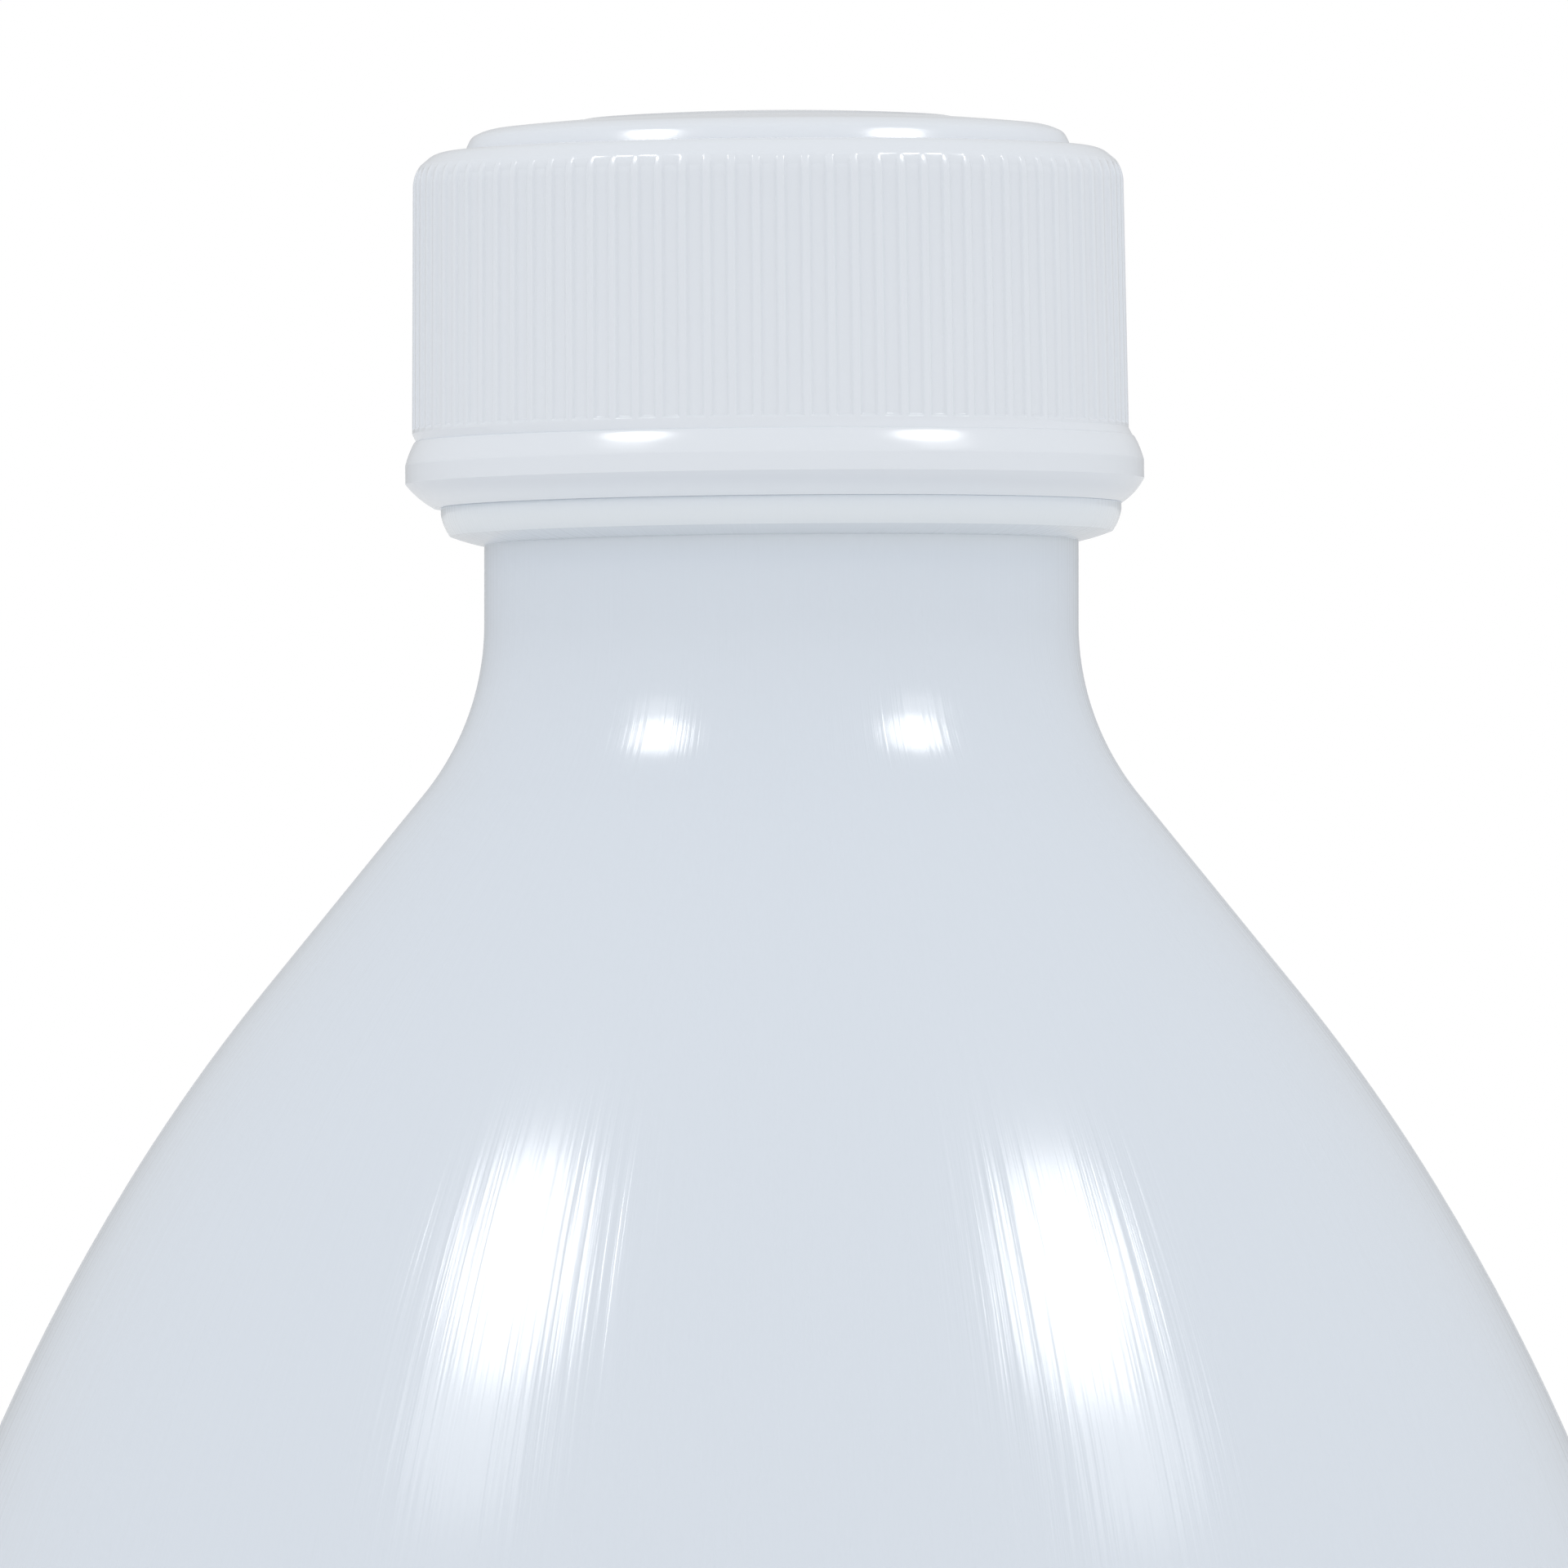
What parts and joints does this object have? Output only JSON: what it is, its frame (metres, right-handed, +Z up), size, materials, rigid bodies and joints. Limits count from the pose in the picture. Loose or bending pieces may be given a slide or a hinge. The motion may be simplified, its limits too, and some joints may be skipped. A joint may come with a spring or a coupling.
{
  "type": "narrow-neck laboratory bottle",
  "caption": "Round milky plastic laboratory bottle with a long sloping shoulder, a narrow neck and a ribbed screw cap seated on its neck bead.",
  "frame": {"origin": "centre of the foot ring, on the surface the bottle stands on", "axes": "+Z up along the bottle's axis; in the picture +X is to the right and the camera looks along +Y"},
  "size_m": [0.076, 0.076, 0.1782],
  "materials": {
    "bottle_plastic": "milky translucent, glossy with faint draw lines",
    "cap_plastic": "milky translucent, satin gloss"
  },
  "bodies": {
    "root": {"bottle": "bottle_plastic", "cap": "cap_plastic"}
  },
  "joints": []
}
